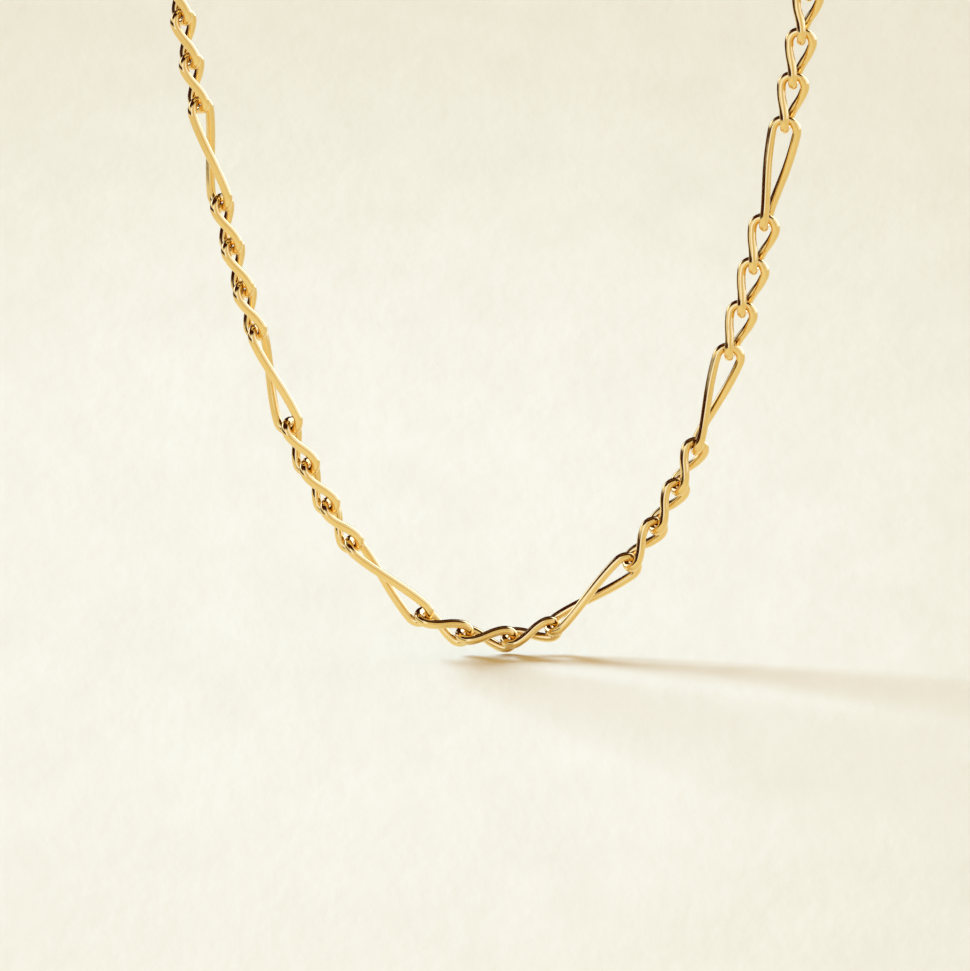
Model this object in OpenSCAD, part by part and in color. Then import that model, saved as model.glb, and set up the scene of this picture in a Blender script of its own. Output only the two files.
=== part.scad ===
// Figaro neck chain: twisted round-wire links, three short and one long in turn, in a closed loop.
// The loop hangs in the XZ plane from the underside of its clasp, which is the origin. +Z is up.

/* [Wire and links] */
// Diameter of the round wire
wire_d = 0.66; // [0.6:0.02:0.7]
// Width over the outside of a link's bow
link_w = 2.5; // [2.4:0.02:2.8]
// Length over the outside of a short link
short_len = 4.75; // [4.5:0.05:5.5]
// Length over the outside of a long link
long_len = 8.85; // [7.5:0.05:10.5]
// Play between the round wires of two links where they meet
link_play = 0.15; // [0.12:0.01:0.2]
// Angle from a link's first bow to its second, about its length
link_twist = 90; // [80:2:100]

/* [Pattern] */
// Long links in the whole chain
long_count = 26; // [20:2:28]
// Short links between two long ones
group = 3; // [1:2:3]
// Short links at each end, between the last long link and the clasp
end_group = 2; // [1:1:3]

/* [Hang] */
// Radius of the tightest bend, at the bottom of the loop
bottom_r = 9; // [8:0.25:14]
// Way along the chain from the lowest point to the middle link, to the right
middle_shift = -1.15; // [-1.5:0.05:1.5]

/* [Clasp] */
// Outside diameter of the clasp's ring
ring_d = 5.2; // [4.6:0.1:7]
// Thickness of the ring
ring_wire_d = 0.8; // [0.6:0.05:0.8]
// Outside diameter of the small eye on the ring
eye_d = 2.6; // [2.5:0.05:3.5]
// Thickness of the eye
eye_wire_d = 0.7; // [0.5:0.05:0.8]
// Play between an end link and the clasp
clasp_play = 0.12; // [0.1:0.01:0.2]
// Length of the thumb piece outside the ring
thumb_len = 0.8; // [0.5:0.1:1.2]
// Diameter of the thumb piece
thumb_d = 0.7; // [0.5:0.05:0.8]

/* [Hidden] */
// Faces round the wire of a link
wire_sides = 6;
// Fineness of the clasp's round surfaces
round_fn = 64;
gold = [0.90, 0.74, 0.40];

// Half a bow, from its crown to its end: [share of the bow's depth, share of its half width]
BOW = [
    [1.00, 0.31],
    [0.59, 0.81],
    [0.00, 1.00],
];

// How far along half a link its strands have finished turning
turn_share = 0.6;
// How far a strand keeps out from the link's axis as it turns: 0 on a straight chord, 1 at its full width
strand_spread = 0.6;
// Where two links pivot on each other: 0 on the crown of the one that follows, 1 on the other's
pivot_share = 0.25;

// Roll of the links about the chain: [share of the half loop from the bottom, angle]
ROLL = [
    [-1.000, 45],
    [-0.240, 100],
    [-0.195, 91],
    [-0.142, 90],
    [-0.118, 73],
    [-0.070, 76],
    [-0.043, 68],
    [-0.010, 65],
    [ 0.009, 70],
    [ 0.033, 66],
    [ 0.056, 72],
    [ 0.087, 71],
    [ 0.108, 54],
    [ 0.131, 34],
    [ 0.160, 35],
    [ 0.221, 37],
    [ 0.240, 46],
    [ 1.000, 45],
];

wire_r = wire_d / 2;
// How far each link lies ahead of the middle between its two joints
lead = (0.5 - pivot_share) * (wire_d + link_play);
bow_r = (link_w - wire_d) / 2;
short_pitch = short_len - 2 * wire_d - link_play;
long_pitch = long_len - 2 * wire_d - link_play;

link_count = long_count + (long_count - 1) * group + 2 * end_group;
middle_link = (link_count - 1) / 2;

function is_long(i) = (i - end_group) % (group + 1) == 0 && i >= end_group && i < link_count - end_group;
function pitch(i) = is_long(i) ? long_pitch : short_pitch;
function outer_len(i) = is_long(i) ? long_len : short_len;

// Centreline radii of the clasp's ring and eye, and the way between their centres
ring_r = (ring_d - ring_wire_d) / 2;
eye_r = (eye_d - eye_wire_d) / 2;
eye_way = ring_r + eye_r;
clasp_pitch = ring_r - ring_wire_d / 2 + eye_way + eye_r - eye_wire_d / 2 - clasp_play;

// Way along the chain from the lowest point to each joint, from the left end to the right
chain_len = long_count * long_pitch + (link_count - long_count) * short_pitch;
half_loop = (chain_len + clasp_pitch) / 2;
joint_way = [
    for (i = 0, way = middle_shift - chain_len / 2; i <= link_count; way = way + pitch(i), i = i + 1) way
];
function middle_way(i) = (joint_way[i] + joint_way[i + 1]) / 2;

// Heading of the chain: it hangs as a catenary up to leave, and turns evenly over the top from there
function over_r(leave) = (half_loop - leave) / (180 - atan(leave / bottom_r)) * 180 / PI;
function heading(way, leave) =
    abs(way) <= leave
        ? atan(way / bottom_r)
        : sign(way) * (atan(leave / bottom_r) + (abs(way) - leave) / over_r(leave) * 180 / PI);
function along(angle) = [cos(angle), 0, sin(angle)];
function sum(list) = list * [for (v = list) 1];

// Width that the two ends leave for the clasp, and the way up where they leave just its length
function end_gap(leave) = sum([for (i = [0 : link_count - 1]) pitch(i) * cos(heading(middle_way(i), leave))]);
function solve_leave(low, high, steps) =
    let (mid = (low + high) / 2)
    steps == 0
        ? mid
        : end_gap(mid) > clasp_pitch
            ? solve_leave(low, mid, steps - 1)
            : solve_leave(mid, high, steps - 1);
leave_way = solve_leave(0.3 * half_loop, 0.95 * half_loop, 30);

// Joints from the left end to the right, first from the left end, then from the origin under the clasp
link_angle = [for (i = [0 : link_count - 1]) heading(middle_way(i), leave_way)];
link_span = [for (i = [0 : link_count - 1]) pitch(i) * along(link_angle[i])];
joint_from_end = [
    for (i = 0, p = [0, 0, 0]; i <= link_count; p = i < link_count ? p + link_span[i] : p, i = i + 1) p
];
clasp_span = joint_from_end[0] - joint_from_end[link_count];
clasp_angle = atan2(clasp_span[2], clasp_span[0]);
clasp_middle = [0, 0, ring_d / 2];
joint = [for (p = joint_from_end) p - joint_from_end[link_count] - clasp_span / 2 + clasp_middle];

// One half of a link's centreline, from crown to crown: [way from its middle, half width]
function half_stations(outer) =
    let (
        run = (outer - wire_d) / 2 - bow_r,
        first = [for (row = BOW) [-run - bow_r * row[0], bow_r * row[1]]],
        last = [for (i = [len(BOW) - 1 : -1 : 0]) [run + bow_r * BOW[i][0], bow_r * BOW[i][1]]],
        long_run = outer > (short_len + long_len) / 2
    )
    concat(first, long_run ? [[0, bow_r]] : [], last);

function unit(v) = v / norm(v);
function reversed(list) = [for (i = [len(list) - 1 : -1 : 0]) list[i]];

// Centres of a link's rings in space, once round the link
function ring_centres(i) =
    let (
        outer = outer_len(i),
        t = along(link_angle[i]),
        inward = [-t[2], 0, t[0]],
        across = cross(t, inward),
        roll = lookup(middle_way(i) / half_loop, ROLL),
        first_dir = cos(roll + link_twist / 2) * inward + sin(roll + link_twist / 2) * across,
        last_dir = cos(roll - link_twist / 2) * inward + sin(roll - link_twist / 2) * across,
        turn_end = turn_share * (outer - wire_d) / 2,
        middle = (joint[i] + joint[i + 1]) / 2 + lead * t,
        half = half_stations(outer),
        out = [
            for (s = half)
            let (
                f = max(0, min(1, (s[0] + turn_end) / (2 * turn_end))),
                chord = (1 - f) * first_dir + f * last_dir
            )
            [s[0], s[1] * chord / pow(norm(chord), strand_spread)]
        ]
    )
    concat(
        [for (o = out) middle + o[0] * t + o[1]],
        [for (o = reversed(out)) middle + o[0] * t - o[1]]
    );

// Points of a link's skin: a ring of wire_sides points square to the wire at each centre
function link_points(i) =
    let (
        c = ring_centres(i),
        n = len(c),
        t = along(link_angle[i]),
        inward = [-t[2], 0, t[0]],
        roll = lookup(middle_way(i) / half_loop, ROLL),
        side = cos(roll) * cross(t, inward) - sin(roll) * inward
    )
    [
        for (j = [0 : n - 1])
        let (
            tangent = unit(c[(j + 1) % n] - c[(j + n - 1) % n]),
            a = unit(side - (side * tangent) * tangent),
            b = cross(tangent, a)
        )
        for (k = [0 : wire_sides - 1])
        c[j] + wire_r * (cos(360 * k / wire_sides) * a + sin(360 * k / wire_sides) * b)
    ];

// Triangles of a closed wire of n rings, whose first point is number start
function link_faces(n, start) = [
    for (j = [0 : n - 1])
    for (k = [0 : wire_sides - 1])
    let (
        here = start + j * wire_sides,
        next = start + (j + 1) % n * wire_sides,
        m = (k + 1) % wire_sides
    )
    each [[here + k, next + k, next + m], [here + k, next + m, here + m]]
];

// The links numbered in a list, as loose closed wires
module links(list) {
    points = [for (i = list) link_points(i)];
    start = [for (i = 0, at = 0; i < len(points); at = at + len(points[i]), i = i + 1) at];
    faces = [for (i = [0 : len(points) - 1]) link_faces(len(points[i]) / wire_sides, start[i])];
    color(gold)
        polyhedron(points = [for (p = points) each p], faces = [for (f = faces) each f], convexity = 10);
}

long_links = [for (i = [0 : link_count - 1]) if (is_long(i)) i];
short_left = [for (i = [0 : link_count - 1]) if (!is_long(i) && i <= middle_link) i];
short_right = [for (i = [0 : link_count - 1]) if (!is_long(i) && i > middle_link) i];

module short_links_left() {
    links(short_left);
}

module short_links_right() {
    links(short_right);
}

module torus(centreline_r, thickness) {
    rotate_extrude($fn = round_fn)
        translate([centreline_r, 0])
            circle(d = thickness, $fn = round_fn / 2);
}

// A plain closed ring in the plane of the loop, with a thumb piece outside, and a small eye square to it.
// The eye takes the right end of the chain.
module clasp() {
    eye_at = lead - clasp_pitch / 2 - clasp_play / 2 + eye_r - eye_wire_d / 2;
    color(gold)
        translate(clasp_middle)
            rotate([0, -clasp_angle, 0]) {
                translate([eye_at, 0, 0])
                    torus(eye_r, eye_wire_d);
                translate([eye_at + eye_way, 0, 0]) {
                    rotate([90, 0, 0])
                        torus(ring_r, ring_wire_d);
                    translate([0, 0, -ring_d / 2 - thumb_len + ring_wire_d / 2])
                        cylinder(d = thumb_d, h = thumb_len, $fn = round_fn / 2);
                }
            }
}

function long_name(n) = str("long_link_", n < 10 ? "0" : "", n);

for (n = [1 : long_count])
    links([long_links[n - 1]]);
short_links_left();
short_links_right();
clasp();
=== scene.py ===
from collections import namedtuple
from math import atan, atan2, cos, pi, radians, sin

import bmesh
import bpy
from mathutils import Matrix, Vector


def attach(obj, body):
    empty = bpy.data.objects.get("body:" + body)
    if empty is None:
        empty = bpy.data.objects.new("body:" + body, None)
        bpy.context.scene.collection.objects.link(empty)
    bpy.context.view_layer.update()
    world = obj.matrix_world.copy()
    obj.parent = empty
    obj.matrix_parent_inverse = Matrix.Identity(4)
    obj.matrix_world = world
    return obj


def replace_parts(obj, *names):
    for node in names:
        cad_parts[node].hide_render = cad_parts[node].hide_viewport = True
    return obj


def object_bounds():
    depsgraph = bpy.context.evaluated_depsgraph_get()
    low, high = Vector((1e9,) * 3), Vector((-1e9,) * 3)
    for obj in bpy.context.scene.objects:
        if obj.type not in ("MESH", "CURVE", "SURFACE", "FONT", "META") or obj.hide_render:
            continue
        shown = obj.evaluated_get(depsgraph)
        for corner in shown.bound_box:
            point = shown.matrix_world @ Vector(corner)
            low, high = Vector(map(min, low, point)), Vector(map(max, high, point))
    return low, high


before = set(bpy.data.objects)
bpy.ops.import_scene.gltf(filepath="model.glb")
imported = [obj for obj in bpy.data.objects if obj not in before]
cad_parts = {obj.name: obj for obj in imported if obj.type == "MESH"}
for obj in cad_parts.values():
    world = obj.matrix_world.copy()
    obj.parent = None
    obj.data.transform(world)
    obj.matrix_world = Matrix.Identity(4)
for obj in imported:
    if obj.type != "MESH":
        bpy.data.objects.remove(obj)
cad_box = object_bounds()

MM = 0.001

# The links, in millimetres and degrees, with the sizes of their solids
WIRE = 0.66
LINK_WIDTH = 2.5
SHORT_LENGTH = 4.75
LONG_LENGTH = 8.85
LINK_TWIST = 90
# Play between two links, in the solids and as shown: real links bear on each other
SOLID_PLAY = 0.15
SHOWN_PLAY = 0.06
# Where two links pivot on each other: 0 on the crown of the one that follows, 1 on the other's
PIVOT_SHARE = 0.25

SHORT_PITCH = SHORT_LENGTH - 2 * WIRE - SOLID_PLAY
LONG_PITCH = LONG_LENGTH - 2 * WIRE - SOLID_PLAY
BOW_RADIUS = (LINK_WIDTH - WIRE) / 2
# How far each link lies ahead of the middle between its two joints
LEAD = (0.5 - PIVOT_SHARE) * (WIRE + SHOWN_PLAY)

# Share of half a link's length over which its strands turn: past 1, so that the bows still turn a little too
TURN_SHARE = 1.1
# Shares of that turn in which it starts and stops
SHORT_EASE, LONG_EASE = 0.5, 0.25
# How far a strand keeps out from the link's axis as it turns: 0 on a straight chord, 1 at its full width
SHORT_SPREAD, LONG_SPREAD = 0.25, 0.6

# The pattern: long links in all, short ones between two of them, and short ones at each end
LONG_COUNT = 26
GROUP = 3
END_GROUP = 2
LINK_COUNT = LONG_COUNT + (LONG_COUNT - 1) * GROUP + 2 * END_GROUP

# The hang: radius of the bend at the bottom, and the way along the chain from its lowest point to the middle
# link, to the right
BOTTOM_RADIUS = 9
MIDDLE_SHIFT = -1.15
# Shares of the half loop between which the catenary ends, and how often the stretch between them is halved
LEAVE_SHARES = (0.3, 0.95)
HALVINGS = 30

# The clasp
RING_OUTSIDE = 5.2
RING_WIRE = 0.8
EYE_OUTSIDE = 2.6
EYE_WIRE = 0.7
CLASP_PLAY = 0.12
THUMB_LENGTH = 0.8
THUMB_THICKNESS = 0.7
RING_RADIUS = (RING_OUTSIDE - RING_WIRE) / 2
EYE_RADIUS = (EYE_OUTSIDE - EYE_WIRE) / 2
CLASP_PITCH = 2 * RING_RADIUS + 2 * EYE_RADIUS - RING_WIRE / 2 - EYE_WIRE / 2 - CLASP_PLAY

# How far each link is rolled about the chain: share of the half loop from its lowest point, and the angle
ROLL = (
    (-1.000, 45),
    (-0.240, 100),
    (-0.195, 91),
    (-0.142, 90),
    (-0.118, 73),
    (-0.070, 76),
    (-0.043, 68),
    (-0.010, 65),
    (0.009, 70),
    (0.033, 66),
    (0.056, 72),
    (0.087, 71),
    (0.108, 54),
    (0.131, 34),
    (0.160, 35),
    (0.221, 37),
    (0.240, 46),
    (1.000, 45),
)

# Fineness of the shown wire: faces round it, steps in a quarter of a bow, steps along a strand
WIRE_SIDES = 16
BOW_STEPS = 7
SHORT_STEPS = 8
LONG_STEPS = 16
# Fineness of the clasp: faces round the wire of its rings and steps round them, faces round the thumb piece
# and steps across its rounded rims
RING_SIDES = 20
RING_STEPS = 64
THUMB_SIDES = 24
THUMB_RIM_STEPS = 4
# Edges of the thumb piece that turn by more than this angle are its rims
SHARP = 60

# Grain of the finishes, in millimetres: spots left by buffing, ripples left by bending, clouds in the pulp
BUFFED_SPOT = 1.1
BENT_RIPPLE = 0.7
RIPPLE_DEPTH = 0.02
PULP_CLOUD = 3.8
# The card's tooth is drawn coarser than the real one so that it shows
CARD_TOOTH = 1.1
TOOTH_DEPTH = 0.1

# The floor, in millimetres: half its side, how far its middle lies to the right, and its way below the chain
FLOOR_HALF = 800
FLOOR_ASIDE = 650
FLOOR_BELOW = 0.1

Place = namedtuple("Place", "middle heading roll")


def is_long(number):
    """True for the long links, counted from the left end of the chain."""
    inside = END_GROUP <= number < LINK_COUNT - END_GROUP
    return inside and (number - END_GROUP) % (GROUP + 1) == 0


def pitch(number):
    """Way along the chain that a link takes up."""
    return LONG_PITCH if is_long(number) else SHORT_PITCH


def roll_at(share):
    """Roll of a link at a share of the half loop."""
    for (low, low_angle), (high, high_angle) in zip(ROLL, ROLL[1:]):
        if share <= high:
            return low_angle + (high_angle - low_angle) * (share - low) / (high - low)
    return ROLL[-1][1]


def along(angle):
    """Direction in the plane of the loop at an angle up from the right."""
    return Vector((cos(angle), 0, sin(angle)))


def hang_chain():
    """The place of each link from the left end, the clasp's middle and angle, and the lowest joint.

    The chain hangs as a catenary and turns evenly over the top, where its ends leave just the clasp's length.
    """
    pitches = [pitch(number) for number in range(LINK_COUNT)]
    half_loop = (sum(pitches) + CLASP_PITCH) / 2
    ways = [MIDDLE_SHIFT - sum(pitches) / 2]
    for step in pitches:
        ways.append(ways[-1] + step)
    middles = [(low + high) / 2 for low, high in zip(ways, ways[1:])]

    def heading(way, leave):
        if abs(way) <= leave:
            return atan(way / BOTTOM_RADIUS)
        side = 1 if way > 0 else -1
        slope = atan(leave / BOTTOM_RADIUS)
        return side * (slope + (abs(way) - leave) / (half_loop - leave) * (pi - slope))

    low_leave, high_leave = (share * half_loop for share in LEAVE_SHARES)
    for _ in range(HALVINGS):
        leave = (low_leave + high_leave) / 2
        end_gap = sum(step * cos(heading(way, leave)) for step, way in zip(pitches, middles))
        if end_gap > CLASP_PITCH:
            high_leave = leave
        else:
            low_leave = leave

    headings = [heading(way, leave) for way in middles]
    joints = [Vector((0, 0, 0))]
    for step, angle in zip(pitches, headings):
        joints.append(joints[-1] + step * along(angle))
    clasp_span = joints[0] - joints[-1]
    clasp_middle = Vector((0, 0, RING_OUTSIDE / 2))
    start = clasp_middle - clasp_span / 2 - joints[-1]
    places = []
    for number, angle in enumerate(headings):
        middle = start + (joints[number] + joints[number + 1]) / 2 + LEAD * along(angle)
        places.append(Place(middle, angle, radians(roll_at(middles[number] / half_loop))))
    lowest = min(joints, key=lambda joint: joint.z) + start
    return places, clasp_middle, atan2(clasp_span.z, clasp_span.x), lowest


def eased(share, ease):
    """A steady climb from 0 to 1 that starts and stops softly."""
    steepest = 1 / (1 - ease)
    if share < ease:
        return steepest * share * share / (2 * ease)
    if share > 1 - ease:
        return 1 - steepest * (1 - share) ** 2 / (2 * ease)
    return steepest * (share - ease / 2)


def wire_stations(pitch_length, strand_steps, ease, spread):
    """Matrices of the rings that the wire of one link passes, in metres, with the link lying along X."""
    length = pitch_length + 2 * WIRE + SHOWN_PLAY
    run = (length - WIRE) / 2 - BOW_RADIUS
    turn_end = TURN_SHARE * (length - WIRE) / 2
    bend = [pi / 2 * step / BOW_STEPS for step in range(BOW_STEPS)]
    bow = [(BOW_RADIUS * cos(angle), BOW_RADIUS * sin(angle)) for angle in bend]
    half = [(-run - ahead, out) for ahead, out in bow]
    half += [(-run + 2 * run * step / strand_steps, BOW_RADIUS) for step in range(strand_steps + 1)]
    half += [(run + ahead, out) for ahead, out in reversed(bow)]
    half_twist = radians(LINK_TWIST / 2)
    first = Vector((0, -sin(half_twist), cos(half_twist)))
    last = Vector((0, sin(half_twist), cos(half_twist)))

    def point(ahead, out):
        chord = first.lerp(last, eased((ahead + turn_end) / (2 * turn_end), ease))
        return Vector((ahead, 0, 0)) + out * chord / chord.length ** spread

    centres = [point(ahead, out) for ahead, out in half]
    centres += [point(ahead, -out) for ahead, out in reversed(half[1:-1])]
    stations = []
    for here, centre in enumerate(centres):
        tangent = (centres[(here + 1) % len(centres)] - centres[here - 1]).normalized()
        side = Vector((0, 1, 0))
        side = (side - side.dot(tangent) * tangent).normalized()
        turn = Matrix((side, tangent.cross(side), tangent)).transposed().to_4x4()
        stations.append(Matrix.Translation(centre * MM) @ turn)
    return stations


def draw_wire(stations):
    """Round wire drawn through the stations and closed on itself."""
    bm = bmesh.new()
    bmesh.ops.create_circle(bm, radius=WIRE / 2 * MM, segments=WIRE_SIDES, matrix=stations[0])
    first_ring = ring = bm.edges[:]
    for before, after in zip(stations, stations[1:]):
        drawn = bmesh.ops.extrude_edge_only(bm, edges=ring)["geom"]
        ends = [part for part in drawn if isinstance(part, bmesh.types.BMVert)]
        bmesh.ops.transform(bm, matrix=after @ before.inverted(), verts=ends)
        fresh = set(ends)
        edges = [part for part in drawn if isinstance(part, bmesh.types.BMEdge)]
        ring = [edge for edge in edges if fresh.issuperset(edge.verts)]
    bmesh.ops.bridge_loops(bm, edges=first_ring + ring)
    bmesh.ops.recalc_face_normals(bm, faces=bm.faces)
    return bm


def finish_piece(name, bm, material):
    """The piece as an object at the origin that rides with the chain."""
    mesh = bpy.data.meshes.new(name)
    bm.to_mesh(mesh)
    bm.free()
    mesh.shade_smooth()
    mesh.materials.append(material)
    piece = bpy.data.objects.new(name, mesh)
    bpy.context.scene.collection.objects.link(piece)
    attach(piece, "root")
    return piece


def hang_copy(bm, pattern, place):
    """Adds to bm a copy of a link that lies along X, turned to its heading and roll and put in its place."""
    mesh = bpy.data.meshes.new("link")
    pattern.to_mesh(mesh)
    turn = Matrix.Rotation(-place.heading, 4, "Y") @ Matrix.Rotation(place.roll, 4, "X")
    mesh.transform(Matrix.Translation(place.middle * MM) @ turn)
    bm.from_mesh(mesh)
    bpy.data.meshes.remove(mesh)


def hang_links(places, material):
    """The long links as pieces of their own, and the short links of each side as one piece."""
    long_pattern = draw_wire(wire_stations(LONG_PITCH, LONG_STEPS, LONG_EASE, LONG_SPREAD))
    short_pattern = draw_wire(wire_stations(SHORT_PITCH, SHORT_STEPS, SHORT_EASE, SHORT_SPREAD))
    sides = {"left": bmesh.new(), "right": bmesh.new()}
    long_number = 0
    for number, place in enumerate(places):
        if is_long(number):
            long_number += 1
            bm = bmesh.new()
            hang_copy(bm, long_pattern, place)
            name = f"long_link_{long_number:02d}"
            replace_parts(finish_piece(name + "_wire", bm, material), name)
        else:
            side = "left" if number <= (LINK_COUNT - 1) / 2 else "right"
            hang_copy(sides[side], short_pattern, place)
    for side, bm in sides.items():
        name = "short_links_" + side
        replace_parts(finish_piece(name + "_wire", bm, material), name)
    long_pattern.free()
    short_pattern.free()


def round_ring(bm, middle_r, thickness, place):
    """A torus in its own XY plane, put at place."""
    known = set(bm.verts)
    profile = bmesh.ops.create_circle(
        bm,
        radius=thickness / 2 * MM,
        segments=RING_SIDES,
        matrix=Matrix.Translation((middle_r * MM, 0, 0)) @ Matrix.Rotation(pi / 2, 4, "X"),
    )["verts"]
    bmesh.ops.spin(
        bm,
        geom=profile + [edge for edge in bm.edges if known.isdisjoint(edge.verts)],
        cent=(0, 0, 0),
        axis=(0, 0, 1),
        angle=2 * pi,
        steps=RING_STEPS,
        use_merge=True,
    )
    bmesh.ops.transform(bm, matrix=place, verts=[vert for vert in bm.verts if vert not in known])


def form_clasp(middle, angle, material):
    """The plain round clasp: ring, fixed eye square to it, and a thumb piece with rounded ends."""
    eye_at = LEAD - CLASP_PITCH / 2 - CLASP_PLAY / 2 + EYE_RADIUS - EYE_WIRE / 2
    ring_at = eye_at + RING_RADIUS + EYE_RADIUS
    place = Matrix.Translation(middle * MM) @ Matrix.Rotation(-angle, 4, "Y")
    bm = bmesh.new()
    round_ring(bm, EYE_RADIUS, EYE_WIRE, place @ Matrix.Translation((eye_at * MM, 0, 0)))
    ring_place = place @ Matrix.Translation((ring_at * MM, 0, 0))
    round_ring(bm, RING_RADIUS, RING_WIRE, ring_place @ Matrix.Rotation(pi / 2, 4, "X"))
    # Half the thickness of the ring's wire holds the thumb piece
    thumb_middle = -RING_OUTSIDE / 2 - THUMB_LENGTH / 2 + RING_WIRE / 2
    thumb = bmesh.ops.create_cone(
        bm,
        cap_ends=True,
        segments=THUMB_SIDES,
        radius1=THUMB_THICKNESS / 2 * MM,
        radius2=THUMB_THICKNESS / 2 * MM,
        depth=THUMB_LENGTH * MM,
        matrix=ring_place @ Matrix.Translation((0, 0, thumb_middle * MM)),
    )["verts"]
    known = set(bm.verts) - set(thumb)
    thumb_edges = [edge for edge in bm.edges if known.isdisjoint(edge.verts)]
    bmesh.ops.bevel(
        bm,
        geom=[edge for edge in thumb_edges if edge.calc_face_angle() > radians(SHARP)],
        offset=THUMB_THICKNESS / 4 * MM,
        segments=THUMB_RIM_STEPS,
        profile=0.5,
        affect="EDGES",
        material=-1,
    )
    bmesh.ops.recalc_face_normals(bm, faces=bm.faces)
    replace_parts(finish_piece("clasp_ring", bm, material), "clasp")


def linear(hex_colour):
    """An sRGB hex colour as linear light."""
    shares = [int(hex_colour[i:i + 2], 16) / 255 for i in (1, 3, 5)]
    return [s / 12.92 if s <= 0.04045 else ((s + 0.055) / 1.055) ** 2.4 for s in shares] + [1]


def add_node(tree, kind, inputs=None, **settings):
    """Adds a node, with its settings, and its inputs set to a value or linked from a socket."""
    made = tree.nodes.new(kind)
    for name, value in settings.items():
        setattr(made, name, value)
    for name, value in (inputs or {}).items():
        if isinstance(value, bpy.types.NodeSocket):
            tree.links.new(value, made.inputs[name])
        else:
            made.inputs[name].default_value = value
    return made


def new_material(name):
    """A material with no nodes yet, and its tree."""
    material = bpy.data.materials.new(name)
    material.use_nodes = True
    material.node_tree.nodes.clear()
    return material, material.node_tree


def polished_gold():
    """Gold-plated silver wire, drawn, bent and buffed: a bright mirror with soft ripples from the bending."""
    material, tree = new_material("polished_gold_wire")
    place = add_node(tree, "ShaderNodeTexCoord").outputs["Object"]
    # Buffing leaves the mirror a little clearer in some spots than in others
    cloud = add_node(
        tree,
        "ShaderNodeTexNoise",
        {"Vector": place, "Scale": 1 / (BUFFED_SPOT * MM), "Detail": 2},
    )
    clearness = add_node(
        tree,
        "ShaderNodeMapRange",
        {"Value": cloud.outputs["Fac"], "From Min": 0.3, "From Max": 0.7, "To Min": 0.06, "To Max": 0.11},
    )
    # The plating is a touch paler where it is thin
    tone = add_node(
        tree,
        "ShaderNodeMix",
        {"Factor": cloud.outputs["Fac"], "A": linear("#F1CB76"), "B": linear("#F6D68A")},
        data_type="RGBA",
    )
    # Bending leaves ripples that make the reflections waver
    ripple = add_node(
        tree,
        "ShaderNodeTexNoise",
        {"Vector": place, "Scale": 1 / (BENT_RIPPLE * MM), "Detail": 1},
    )
    bump = add_node(
        tree,
        "ShaderNodeBump",
        {"Height": ripple.outputs["Fac"], "Strength": 0.3, "Distance": RIPPLE_DEPTH * MM},
    )
    # The coat is a clear lacquer against tarnish, which adds a sharp pale glint to the gold's own warm ones
    shader = add_node(
        tree,
        "ShaderNodeBsdfPrincipled",
        {
            "Base Color": tone.outputs["Result"],
            "Metallic": 1,
            "Roughness": clearness.outputs["Result"],
            "Normal": bump.outputs["Normal"],
            "Coat Weight": 0.55,
            "Coat Roughness": 0.05,
        },
    )
    add_node(tree, "ShaderNodeOutputMaterial", {"Surface": shader.outputs["BSDF"]})
    return material


def cream_card():
    """Uncoated cream card, matt, with a faint tooth and cloudiness from the pulp."""
    material, tree = new_material("cream_card")
    place = add_node(tree, "ShaderNodeTexCoord").outputs["Object"]
    # Its clouds and its tooth are drawn out along the grain of the sheet, which runs from front to back
    drawn = add_node(tree, "ShaderNodeMapping", {"Vector": place, "Scale": (1, 0.25, 1)})
    grain = drawn.outputs["Vector"]
    pulp = add_node(
        tree,
        "ShaderNodeTexNoise",
        {"Vector": grain, "Scale": 1 / (PULP_CLOUD * MM), "Detail": 3},
    )
    tone = add_node(
        tree,
        "ShaderNodeMix",
        {"Factor": pulp.outputs["Fac"], "A": linear("#EFEBDA"), "B": linear("#F8F5E7")},
        data_type="RGBA",
    )
    # The light of the room is too even to fall off on it, so the fall-off is painted shade in its tone: a
    # little darker away from a point 15 mm left of the chain's middle and 20 mm behind it, three times as
    # soon to the sides as to the front and the back
    around = add_node(
        tree,
        "ShaderNodeMapping",
        {"Vector": place, "Location": (45 * MM, -20 * MM, 0), "Scale": (3, 1, 0)},
    )
    away = add_node(tree, "ShaderNodeVectorMath", {0: around.outputs["Vector"]}, operation="LENGTH")
    falloff = add_node(
        tree,
        "ShaderNodeMapRange",
        {"Value": away.outputs["Value"], "From Min": 60 * MM, "From Max": 260 * MM},
        interpolation_type="SMOOTHSTEP",
    )
    painted_shade_tone = add_node(
        tree,
        "ShaderNodeMix",
        {"Factor": falloff.outputs["Result"], "A": tone.outputs["Result"], "B": linear("#F4F0E7")},
        data_type="RGBA",
        blend_type="MULTIPLY",
    )
    tooth = add_node(
        tree,
        "ShaderNodeTexNoise",
        {"Vector": grain, "Scale": 1 / (CARD_TOOTH * MM), "Detail": 2},
    )
    bump = add_node(
        tree,
        "ShaderNodeBump",
        {"Height": tooth.outputs["Fac"], "Strength": 0.35, "Distance": TOOTH_DEPTH * MM},
    )
    shader = add_node(
        tree,
        "ShaderNodeBsdfPrincipled",
        {
            "Base Color": painted_shade_tone.outputs["Result"],
            "Roughness": 0.9,
            "Specular IOR Level": 0.1,
            "Normal": bump.outputs["Normal"],
        },
    )
    add_node(tree, "ShaderNodeOutputMaterial", {"Surface": shader.outputs["BSDF"]})
    return material


def lay_floor():
    """The plain floor, just under the lowest link."""
    bm = bmesh.new()
    middle = Matrix.Translation((FLOOR_ASIDE * MM, 0, cad_box[0].z - FLOOR_BELOW * MM))
    bmesh.ops.create_grid(bm, size=FLOOR_HALF * MM, matrix=middle)
    mesh = bpy.data.meshes.new("floor")
    bm.to_mesh(mesh)
    bm.free()
    mesh.materials.append(cream_card())
    floor = bpy.data.objects.new("floor", mesh)
    bpy.context.scene.collection.objects.link(floor)


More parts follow.
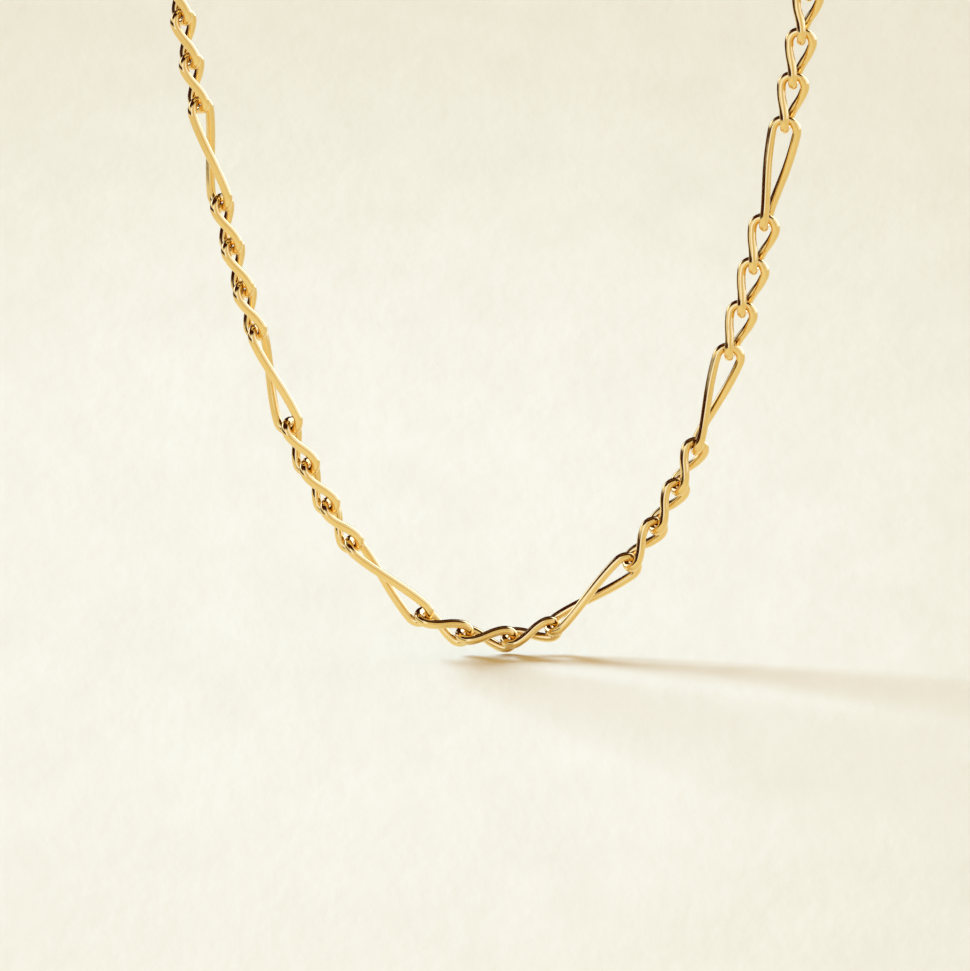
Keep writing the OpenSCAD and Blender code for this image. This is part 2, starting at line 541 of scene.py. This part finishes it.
# The studio. Azimuths run from straight behind the chain round to the right, and all angles are in degrees
Panel = namedtuple("Panel", "azimuth elevation half_width half_height lean softness colour strength")
ALL_ROUND = 180

# Panels in the room that the gold reflects, each over the ones before it, with the lean to the right
STUDIO = (
    # The ceiling
    Panel(0, 90, ALL_ROUND, 36, 0, 16, "#6E4E2C", 1.0),
    # A wide cool panel on the right
    Panel(80, 10, 66, 44, 0, 36, "#C4D0FF", 1.95),
    # A narrow one in front, just left of the camera, and a warm dim stretch of the room to the right of it
    Panel(-161, 0, 19, 50, 0, 18, "#C4D0FF", 2.0),
    Panel(152, 5, 26, 60, 0, 40, "#E4D8BE", 1.0),
    # The dark end of the ceiling over the camera
    Panel(180, 62, 90, 16, 0, 12, "#38160A", 1.0),
    # The dark of the room behind, and the bright strip of light beside it
    Panel(-2, 38, 30, 38, 0, 12, "#34140A", 1.0),
    Panel(46, 24, 17, 30, 0, 16, "#CCD8FF", 4.0),
    # Dark brown wall on the left, above the window and below it
    Panel(-85, 46, 70, 17, 6, 8, "#3C150A", 1.0),
    Panel(-90, 1, 60, 10, 2, 8, "#3C150A", 1.0),
    # The window's glow round the key light
    Panel(-56, 20, 16, 11, -6, 8, "#CCD8FF", 3.2),
)
# The room between the panels
ROOM = "#F0F0F4"
# What matt surfaces see of the room, and what the camera sees past the floor: colour and strength
FILL = ("#FFD174", 0.617)
SEEN_BACKDROP = ("#F4F2E3", 1.0)

# The key light: azimuth and elevation, width across, colour and strength
KEY_FROM = (-51.7, 28)
KEY_WIDTH = 25
KEY_COLOUR = "#B2D9FF"
KEY_STRENGTH = 6.05


def panel_cover(tree, azimuth, elevation, panel):
    """How far a panel covers the direction at an azimuth and elevation, from 0 to 1 across its soft edges."""
    off = add_node(
        tree,
        "ShaderNodeMath",
        {0: azimuth, 1: radians(panel.azimuth)},
        operation="SUBTRACT",
    )
    aside = add_node(tree, "ShaderNodeMath", {0: off.outputs["Value"], 1: pi, 2: -pi}, operation="WRAP")
    above = add_node(
        tree,
        "ShaderNodeMath",
        {0: elevation, 1: radians(panel.elevation)},
        operation="SUBTRACT",
    )
    level = add_node(
        tree,
        "ShaderNodeMath",
        {0: aside.outputs["Value"], 1: sin(radians(panel.lean)), 2: above.outputs["Value"]},
        operation="MULTIPLY_ADD",
    )
    cover = 1
    for reach, half in ((aside, panel.half_width), (level, panel.half_height)):
        if half < ALL_ROUND:
            outer, inner = radians(half + panel.softness / 2), radians(half - panel.softness / 2)
            out = add_node(tree, "ShaderNodeMath", {0: reach.outputs["Value"]}, operation="ABSOLUTE")
            edge = add_node(
                tree,
                "ShaderNodeMapRange",
                {"Value": out.outputs["Value"], "From Min": outer, "From Max": inner},
                interpolation_type="SMOOTHSTEP",
            )
            shared = {0: edge.outputs["Result"], 1: cover}
            cover = add_node(tree, "ShaderNodeMath", shared, operation="MULTIPLY").outputs["Value"]
    return cover


def furnish_room():
    """The pale room with its panels, an even warm fill for matt surfaces and a plain backdrop."""
    world = bpy.data.worlds.new("studio")
    world.use_nodes = True
    tree = world.node_tree
    tree.nodes.clear()
    way = add_node(tree, "ShaderNodeTexCoord").outputs["Generated"]
    parts = add_node(tree, "ShaderNodeSeparateXYZ", {"Vector": way}).outputs
    turned = add_node(tree, "ShaderNodeMath", {0: parts["X"], 1: parts["Y"]}, operation="ARCTAN2")
    raised = add_node(tree, "ShaderNodeMath", {0: parts["Z"]}, operation="ARCSINE")
    azimuth, elevation = turned.outputs["Value"], raised.outputs["Value"]
    rays = add_node(tree, "ShaderNodeLightPath").outputs
    layers = [
        (panel_cover(tree, azimuth, elevation, panel), panel.colour, panel.strength)
        for panel in STUDIO
    ]
    layers += [(rays["Is Diffuse Ray"], *FILL), (rays["Is Camera Ray"], *SEEN_BACKDROP)]
    light = linear(ROOM)
    for cover, colour, strength in layers:
        glow = [share * strength for share in linear(colour)[:3]] + [1]
        layer = add_node(tree, "ShaderNodeMix", {"Factor": cover, "A": light, "B": glow}, data_type="RGBA")
        light = layer.outputs["Result"]
    background = add_node(tree, "ShaderNodeBackground", {"Color": light})
    add_node(tree, "ShaderNodeOutputWorld", {"Surface": background.outputs["Background"]})
    bpy.context.scene.world = world


def hang_key():
    """One low cool key light, from behind on the left."""
    data = bpy.data.lights.new("key", "SUN")
    data.energy = KEY_STRENGTH
    data.angle = radians(KEY_WIDTH)
    data.color = linear(KEY_COLOUR)[:3]
    key = bpy.data.objects.new("key", data)
    azimuth, elevation = (radians(angle) for angle in KEY_FROM)
    towards = Vector((sin(azimuth) * cos(elevation), cos(azimuth) * cos(elevation), sin(elevation)))
    key.rotation_mode = "QUATERNION"
    key.rotation_quaternion = (-towards).to_track_quat("-Z", "Y")
    # In the polish the window's glow stands for it
    key.visible_glossy = False
    bpy.context.scene.collection.objects.link(key)


# The photograph: its size, where the chain's lowest joint shows, and how many pixels make a millimetre
PHOTO_WIDTH, PHOTO_HEIGHT = 970, 971
LOWEST_AT = (507.1, 639.3)
PIXELS_PER_MM = 13.83
# The camera: degrees above the chain's level and of roll, and its distance and the nearest and furthest
# that it sees, in millimetres
CAMERA_ELEVATION = 12.3
CAMERA_ROLL = 0.56
CAMERA_AWAY = 2000
NEAREST_SEEN = 50
FURTHEST_SEEN = 50000


def set_camera(lowest):
    """A long lens at the photograph's angle, with the chain's lowest joint where the photograph has it."""
    data = bpy.data.cameras.new("camera")
    data.lens = data.sensor_width * CAMERA_AWAY * PIXELS_PER_MM / max(PHOTO_WIDTH, PHOTO_HEIGHT)
    data.clip_start = NEAREST_SEEN * MM
    data.clip_end = FURTHEST_SEEN * MM
    camera = bpy.data.objects.new("camera", data)
    tilt, roll = radians(CAMERA_ELEVATION), radians(CAMERA_ROLL)
    back = Vector((0, -cos(tilt), sin(tilt)))
    flat_right, flat_up = Vector((1, 0, 0)), Vector((0, sin(tilt), cos(tilt)))
    right = cos(roll) * flat_right - sin(roll) * flat_up
    up = cos(roll) * flat_up + sin(roll) * flat_right
    off_right = (LOWEST_AT[0] - PHOTO_WIDTH / 2) / PIXELS_PER_MM
    off_up = (PHOTO_HEIGHT / 2 - LOWEST_AT[1]) / PIXELS_PER_MM
    aim = lowest - off_right * right - off_up * up
    turned = Matrix((right, up, back)).transposed().to_4x4()
    camera.matrix_world = Matrix.Translation((aim + CAMERA_AWAY * back) * MM) @ turned
    bpy.context.scene.collection.objects.link(camera)
    bpy.context.scene.camera = camera


bpy.context.scene.view_settings.view_transform = "Standard"
link_places, clasp_at, clasp_angle, lowest_joint = hang_chain()
set_camera(lowest_joint)
gold = polished_gold()
hang_links(link_places, gold)
form_clasp(clasp_at, clasp_angle, gold)
lay_floor()
furnish_room()
hang_key()
